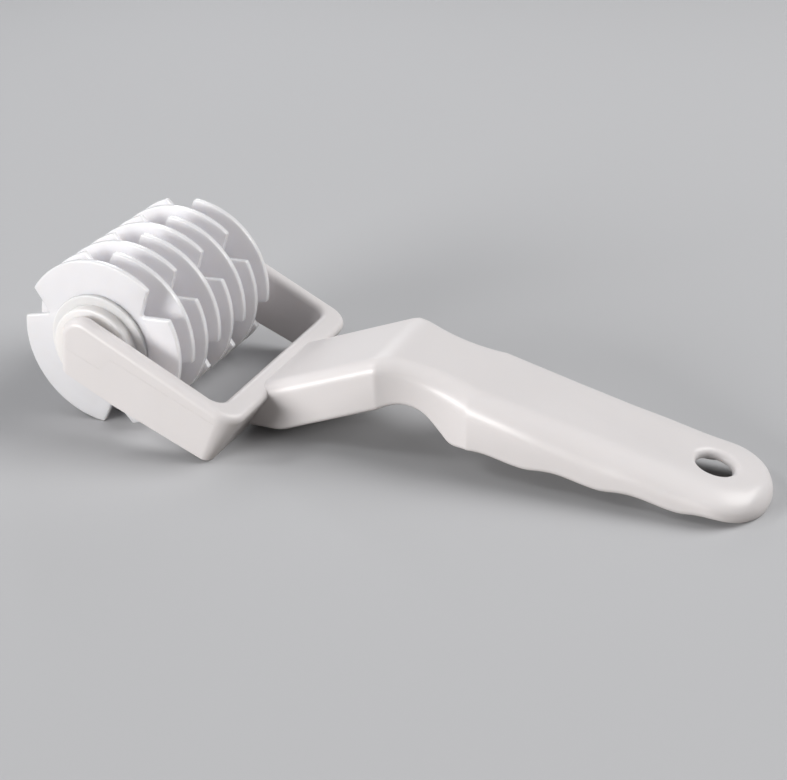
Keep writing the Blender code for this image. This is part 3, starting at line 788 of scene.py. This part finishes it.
def moulded_plastic(name, colour, roughness, translucency, depth, coat):
    """A moulded plastic: faint mottling, a finely uneven gloss and a soft inner glow."""
    material = bpy.data.materials.new(name)
    material.use_nodes = True
    tree = material.node_tree
    shader = tree.nodes["Principled BSDF"]
    shader.inputs["Metallic"].default_value = 0.0
    shader.inputs["IOR"].default_value = PLASTIC_IOR
    shader.inputs["Subsurface Weight"].default_value = translucency
    shader.inputs["Subsurface Radius"].default_value = GLOW_TINT
    shader.inputs["Subsurface Scale"].default_value = depth
    shader.inputs["Coat Weight"].default_value = coat
    shader.inputs["Coat Roughness"].default_value = COAT_ROUGHNESS

    place = tree.nodes.new("ShaderNodeTexCoord")
    mottle = add_noise(tree, place, MOTTLE_SCALE, MOTTLE_DETAIL)
    shades = tree.nodes.new("ShaderNodeValToRGB")
    for element, position, level in zip(shades.color_ramp.elements, MOTTLE_RANGE,
                                        (MOTTLE_DARK, MOTTLE_LIGHT)):
        element.position = position
        element.color = (*[min(1.0, channel * level) for channel in colour], 1.0)
    tree.links.new(mottle, shades.inputs["Fac"])
    tree.links.new(shades.outputs["Color"], shader.inputs["Base Color"])

    smear = add_noise(tree, place, SMEAR_SCALE, SMEAR_DETAIL)
    gloss = tree.nodes.new("ShaderNodeMapRange")
    gloss.inputs["To Min"].default_value = roughness - SMEAR_REACH
    gloss.inputs["To Max"].default_value = roughness + SMEAR_REACH
    tree.links.new(smear, gloss.inputs["Value"])
    tree.links.new(gloss.outputs["Result"], shader.inputs["Roughness"])

    grain = add_noise(tree, place, GRAIN_SCALE, GRAIN_DETAIL)
    bump = tree.nodes.new("ShaderNodeBump")
    bump.inputs["Strength"].default_value = GRAIN_STRENGTH
    bump.inputs["Distance"].default_value = GRAIN_DEPTH
    tree.links.new(grain, bump.inputs["Height"])
    tree.links.new(bump.outputs["Normal"], shader.inputs["Normal"])
    return material


def dress_object():
    """Every piece of the cutter, each standing for its node."""
    handle_white = moulded_plastic("handle_plastic_look", *HANDLE_WHITE)
    disc_white = moulded_plastic("disc_plastic_look", *DISC_WHITE)
    core_white = moulded_plastic("core_plastic_look", *CORE_WHITE)

    handle = combine(make_grip(), make_yoke(), "UNION")
    for side in (-1, 1):
        combine(handle, make_parting(side), "DIFFERENCE")
    finish_piece(handle, "moulded_handle", handle_white, "handle", "handle")
    for number, node in enumerate(DISC_NODES):
        finish_piece(make_disc(number, node), f"notched_disc_{number + 1}", disc_white,
                     node, "roller")
    for number, node in enumerate(SPACER_NODES):
        finish_piece(make_spacer(node), f"disc_spacer_{number + 1}", core_white,
                     node, "roller")
    for side, node in COLLAR_NODES.items():
        finish_piece(make_collar(side, node), node.replace("end_collar", "flanged_cap"),
                     core_white, node, "roller")
    core = frame["nodes"]["roller_core"]
    core.data.materials.clear()
    core.data.materials.append(core_white)


def seen_directly(tree):
    """A value that is 1 for camera, glossy and transmission rays and 0 for the others."""
    ray = tree.nodes.new("ShaderNodeLightPath")
    total = ray.outputs["Is Camera Ray"]
    for name in ("Is Glossy Ray", "Is Transmission Ray"):
        either = tree.nodes.new("ShaderNodeMath")
        either.operation = "MAXIMUM"
        tree.links.new(total, either.inputs[0])
        tree.links.new(ray.outputs[name], either.inputs[1])
        total = either.outputs["Value"]
    return total


def make_floor():
    """A plain pale floor, whose bounced light is as weak as a darker table's."""
    shape = bmesh.new()
    bmesh.ops.create_circle(shape, cap_ends=True, segments=FLOOR_SIDES, radius=FLOOR_RADIUS)
    mesh = bpy.data.meshes.new("floor")
    shape.to_mesh(mesh)
    shape.free()
    floor = add_object("floor", mesh, Matrix.Identity(4))
    material = bpy.data.materials.new("floor_look")
    material.use_nodes = True
    tree = material.node_tree
    shader = tree.nodes["Principled BSDF"]
    shader.inputs["Base Color"].default_value = (*FLOOR_COLOUR, 1.0)
    shader.inputs["Roughness"].default_value = FLOOR_ROUGHNESS
    shader.inputs["Specular IOR Level"].default_value = 0.0
    unseen = tree.nodes.new("ShaderNodeBsdfDiffuse")
    unseen.inputs["Color"].default_value = (*FLOOR_BOUNCE, 1.0)
    mix = tree.nodes.new("ShaderNodeMixShader")
    tree.links.new(seen_directly(tree), mix.inputs["Fac"])
    tree.links.new(unseen.outputs["BSDF"], mix.inputs[1])
    tree.links.new(shader.outputs["BSDF"], mix.inputs[2])
    tree.links.new(mix.outputs["Shader"], tree.nodes["Material Output"].inputs["Surface"])
    mesh.materials.append(material)


def make_room():
    """Even dim light from all round, seen by the camera as a pale background."""
    world = bpy.data.worlds.new("room")
    bpy.context.scene.world = world
    world.use_nodes = True
    tree = world.node_tree
    light = tree.nodes["Background"]
    light.inputs["Color"].default_value = (*ROOM_COLOUR, 1.0)
    light.inputs["Strength"].default_value = ROOM_STRENGTH
    seen = tree.nodes.new("ShaderNodeBackground")
    seen.inputs["Color"].default_value = (*BACKGROUND_COLOUR, 1.0)
    seen.inputs["Strength"].default_value = 1.0
    mix = tree.nodes.new("ShaderNodeMixShader")
    tree.links.new(seen_directly(tree), mix.inputs["Fac"])
    tree.links.new(light.outputs["Background"], mix.inputs[1])
    tree.links.new(seen.outputs["Background"], mix.inputs[2])
    tree.links.new(mix.outputs["Shader"], tree.nodes["World Output"].inputs["Surface"])


def add_lamp(name, target, direction, distance, size, power, colour, roll, spread):
    """A soft rectangular lamp that looks at a point of the object."""
    data = bpy.data.lights.new(name, "AREA")
    data.shape = "RECTANGLE"
    data.size, data.size_y = size
    data.energy = power
    data.color = colour
    data.spread = spread
    lamp = add_object(name, data, Matrix.Identity(4))
    towards = Vector(direction).normalized()
    lamp.location = target + towards * distance
    lamp.rotation_mode = "QUATERNION"
    lamp.rotation_quaternion = towards.to_track_quat("Z", "Y") @ Quaternion((0, 0, 1), roll)


def make_camera():
    """The photograph's viewpoint, with no shift."""
    forward = Vector((-math.sin(VIEW_AZIMUTH) * math.cos(VIEW_ELEVATION),
                      math.cos(VIEW_AZIMUTH) * math.cos(VIEW_ELEVATION),
                      -math.sin(VIEW_ELEVATION)))
    level = Vector((math.cos(VIEW_AZIMUTH), math.sin(VIEW_AZIMUTH), 0.0))
    upright = level.cross(forward)
    across = math.cos(VIEW_ROLL) * level + math.sin(VIEW_ROLL) * upright
    above = math.cos(VIEW_ROLL) * upright - math.sin(VIEW_ROLL) * level
    data = bpy.data.cameras.new("camera")
    data.sensor_fit = "HORIZONTAL"
    data.sensor_width = SENSOR_MM
    data.lens = LENS_MM
    data.clip_start = NEAREST_SEEN
    data.clip_end = FARTHEST_SEEN
    turn = Matrix((across, above, -forward)).transposed().to_4x4()
    camera = add_object("camera", data, Matrix.Translation(CAMERA_PLACE) @ turn)
    bpy.context.scene.camera = camera


def main():
    """Build the stage and the cutter."""
    for old in [item for item in bpy.data.objects if item.type in ("LIGHT", "CAMERA")]:
        bpy.data.objects.remove(old)
    make_camera()
    make_floor()
    make_room()
    for lamp in LAMPS:
        add_lamp(*lamp)
    dress_object()
    bpy.context.scene.view_settings.view_transform = "Standard"


main()
